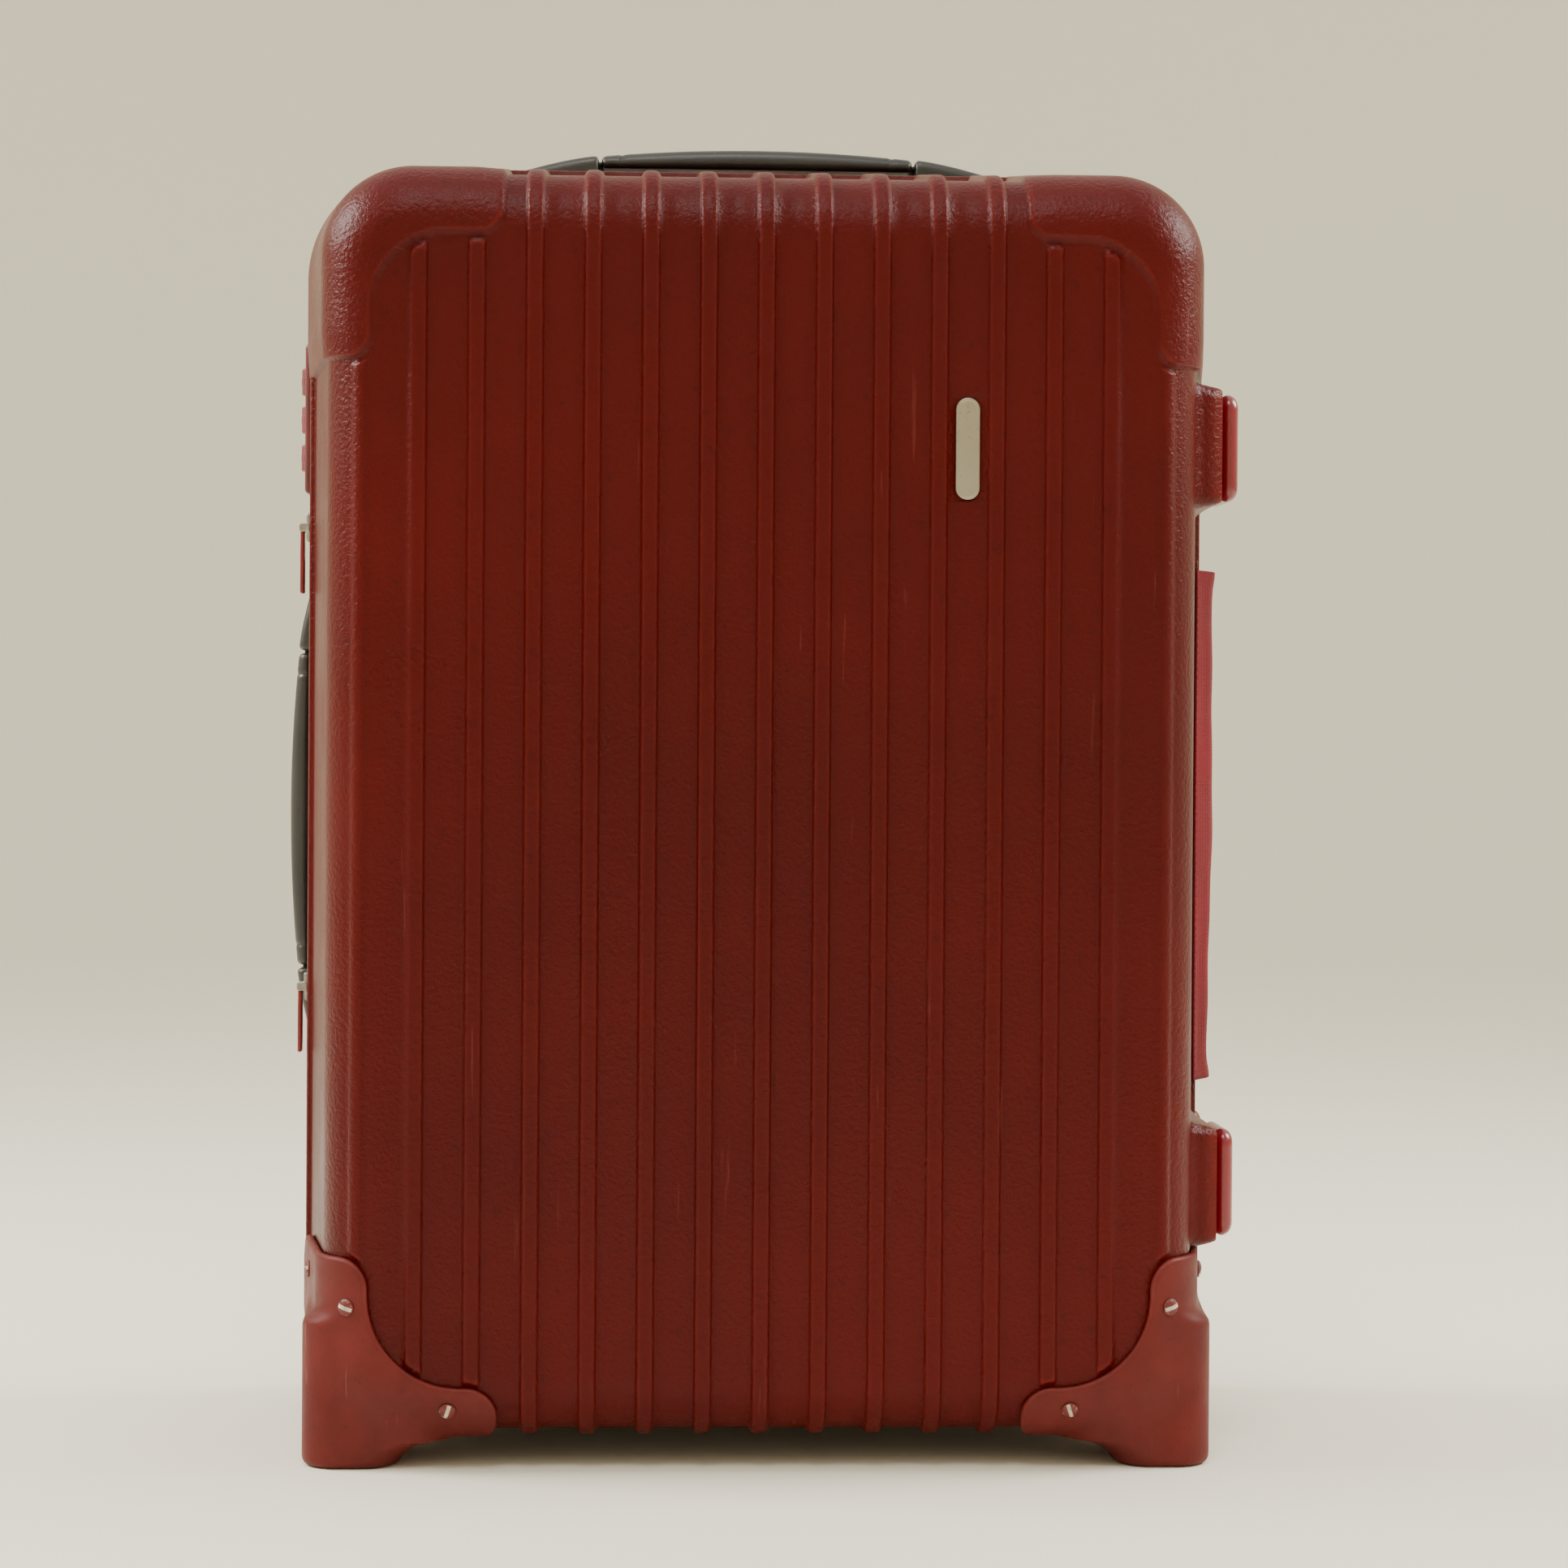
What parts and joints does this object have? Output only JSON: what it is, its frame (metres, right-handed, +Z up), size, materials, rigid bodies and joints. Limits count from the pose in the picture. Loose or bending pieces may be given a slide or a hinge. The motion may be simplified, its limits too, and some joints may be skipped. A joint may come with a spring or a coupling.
{
  "type": "suitcase",
  "caption": "Upright hard shell cabin case: ribbed half shells on a fabric hinge, fixed front feet, rear wheels, telescopic handle, lifting carry handles and a dial lock.",
  "frame": {"origin": "on the floor under the middle of the standing, closed case", "axes": "+Z up, +X towards the fabric hinge and the bumper feet, +Y towards the wheels and the trolley handle, so the front face looks towards -Y"},
  "size_m": [0.3975, 0.2, 0.55],
  "materials": {
    "shell": "satin dark red polycarbonate with a fine pebble grain",
    "boot": "scuffed matte brick red",
    "bumper": "glossy crimson",
    "badge": "plain satin metal plate",
    "screw": "bright steel, paint worn at the slots",
    "zip_fabric": "woven dark red tape",
    "lining": "thin woven lining cloth",
    "pocket": "fine mesh",
    "webbing": "ribbed webbing",
    "board": "stiff plastic sheet",
    "black_plastic": "satin near-black plastic",
    "strap_core": "flexible core",
    "zip_metal": "dark red painted metal",
    "lock": "satin crimson plastic",
    "dial": "satin dark red plastic",
    "keyed_metal": "plated",
    "tyre": "worn dark polyurethane",
    "hub": "grey moulded plastic",
    "tube": "anodised",
    "button": "grey button"
  },
  "bodies": {
    "case_back": {"back_shell": "shell", "back_zip_tape": "zip_fabric", "back_hinge_flap": "zip_fabric", "back_bumper_feet": "bumper", "back_lining": "lining", "tube_board": "board", "packing_straps": "webbing", "buckle_socket": "black_plastic", "buckle_tongue": "black_plastic", "top_handle_ends": "black_plastic", "side_handle_ends": "black_plastic", "handle_screws": "screw", "lock_body": "lock", "dial_shaft": "screw", "housing_screws": "screw", "wheel_axles": "screw", "wheel_housing_left": "black_plastic", "wheel_housing_right": "black_plastic", "trolley_housing": "black_plastic", "tube_foot_bracket": "black_plastic", "outer_tubes": "tube"},
    "hinge_strip": {"hinge_gusset": "zip_fabric"},
    "lid": {"front_shell": "shell", "boot_left": "boot", "boot_right": "boot", "boot_screws": "screw", "badge_plate": "badge", "front_bumper_feet": "bumper", "front_zip_tape": "zip_fabric", "front_hinge_flap": "zip_fabric", "front_lining": "lining", "lid_pocket": "pocket"},
    "lower_slider": {"zip_slider_lower": "zip_metal"},
    "lower_pull": {"zip_pull_lower": "zip_metal"},
    "upper_slider": {"zip_slider_upper": "zip_metal"},
    "upper_pull": {"zip_pull_upper": "zip_metal"},
    "top_handle": {"top_handle_grip": "black_plastic", "top_handle_strap": "strap_core"},
    "side_handle": {"side_handle_grip": "black_plastic", "side_handle_strap": "strap_core"},
    "release": {"lock_release": "lock"},
    "key": {"key_cylinder": "keyed_metal"},
    "number_dial_1": {"dial_1": "dial"},
    "number_dial_2": {"dial_2": "dial"},
    "number_dial_3": {"dial_3": "dial"},
    "wheel_left": {"tyre_left": "tyre", "wheel_hub_left": "hub", "wheel_bearings_left": "screw"},
    "wheel_right": {"tyre_right": "tyre", "wheel_hub_right": "hub", "wheel_bearings_right": "screw"},
    "trolley_middle": {"middle_tubes": "tube"},
    "trolley_inner": {"inner_tubes": "tube", "trolley_grip_lower": "black_plastic", "trolley_grip_upper": "black_plastic"},
    "trolley_release": {"trolley_button": "button"}
  },
  "joints": [
    {"name": "back_fold", "type": "hinge", "parent": "case_back", "child": "hinge_strip", "pos_m": [0.192, 0.013, 0.259], "axis": [0, 0, 1], "range_deg": [0, 90]},
    {"name": "lid_fold", "type": "hinge", "parent": "hinge_strip", "child": "lid", "pos_m": [0.192, -0.013, 0.259], "axis": [0, 0, 1], "range_deg": [0, 90]},
    {"name": "lower_slider_travel", "type": "slide", "parent": "case_back", "child": "lower_slider", "axis": [0, 0, 1], "range_m": [-0.11, 0.05]},
    {"name": "lower_pull_swing", "type": "hinge", "parent": "lower_slider", "child": "lower_pull", "pos_m": [-0.1931, 0, 0.188], "axis": [0, 1, 0], "range_deg": [0, 150]},
    {"name": "upper_slider_travel", "type": "slide", "parent": "case_back", "child": "upper_slider", "axis": [0, 0, 1], "range_m": [-0.093, 0.004]},
    {"name": "upper_pull_swing", "type": "hinge", "parent": "upper_slider", "child": "upper_pull", "pos_m": [-0.1931, 0, 0.383], "axis": [0, 1, 0], "range_deg": [0, 150]},
    {"name": "top_handle_lift", "type": "slide", "parent": "case_back", "child": "top_handle", "axis": [0, 0, 1], "range_m": [0, 0.02], "stiffness_N_per_m": 200},
    {"name": "side_handle_lift", "type": "slide", "parent": "case_back", "child": "side_handle", "axis": [-1, 0, 0], "range_m": [0, 0.02], "stiffness_N_per_m": 200},
    {"name": "lock_release_travel", "type": "slide", "parent": "case_back", "child": "release", "axis": [0, 0, -1], "range_m": [0, 0.005], "stiffness_N_per_m": 300},
    {"name": "key_turn", "type": "hinge", "parent": "case_back", "child": "key", "pos_m": [-0.193, 0.0295, 0.414], "axis": [-1, 0, 0], "range_deg": [0, 90]},
    {"name": "dial_1_turn", "type": "hinge", "parent": "case_back", "child": "number_dial_1", "pos_m": [-0.188, 0.015, 0.4137], "axis": [0, 0, 1], "continuous": true},
    {"name": "dial_2_turn", "type": "hinge", "parent": "case_back", "child": "number_dial_2", "pos_m": [-0.188, 0.015, 0.43], "axis": [0, 0, 1], "continuous": true},
    {"name": "dial_3_turn", "type": "hinge", "parent": "case_back", "child": "number_dial_3", "pos_m": [-0.188, 0.015, 0.4463], "axis": [0, 0, 1], "continuous": true},
    {"name": "wheel_left_spin", "type": "hinge", "parent": "case_back", "child": "wheel_left", "pos_m": [-0.158, 0.074, 0.026], "axis": [1, 0, 0], "continuous": true},
    {"name": "wheel_right_spin", "type": "hinge", "parent": "case_back", "child": "wheel_right", "pos_m": [0.158, 0.074, 0.026], "axis": [1, 0, 0], "continuous": true},
    {"name": "trolley_middle_slide", "type": "slide", "parent": "case_back", "child": "trolley_middle", "axis": [0, 0, 1], "range_m": [0, 0.24]},
    {"name": "trolley_inner_slide", "type": "slide", "parent": "trolley_middle", "child": "trolley_inner", "axis": [0, 0, 1], "range_m": [0, 0.24]},
    {"name": "trolley_button_press", "type": "slide", "parent": "trolley_inner", "child": "trolley_release", "axis": [0, 0, -1], "range_m": [0, 0.003], "stiffness_N_per_m": 400}
  ],
  "couplings": [
    {"joint": "lid_fold", "follows": "back_fold", "ratio": 1}
  ]
}
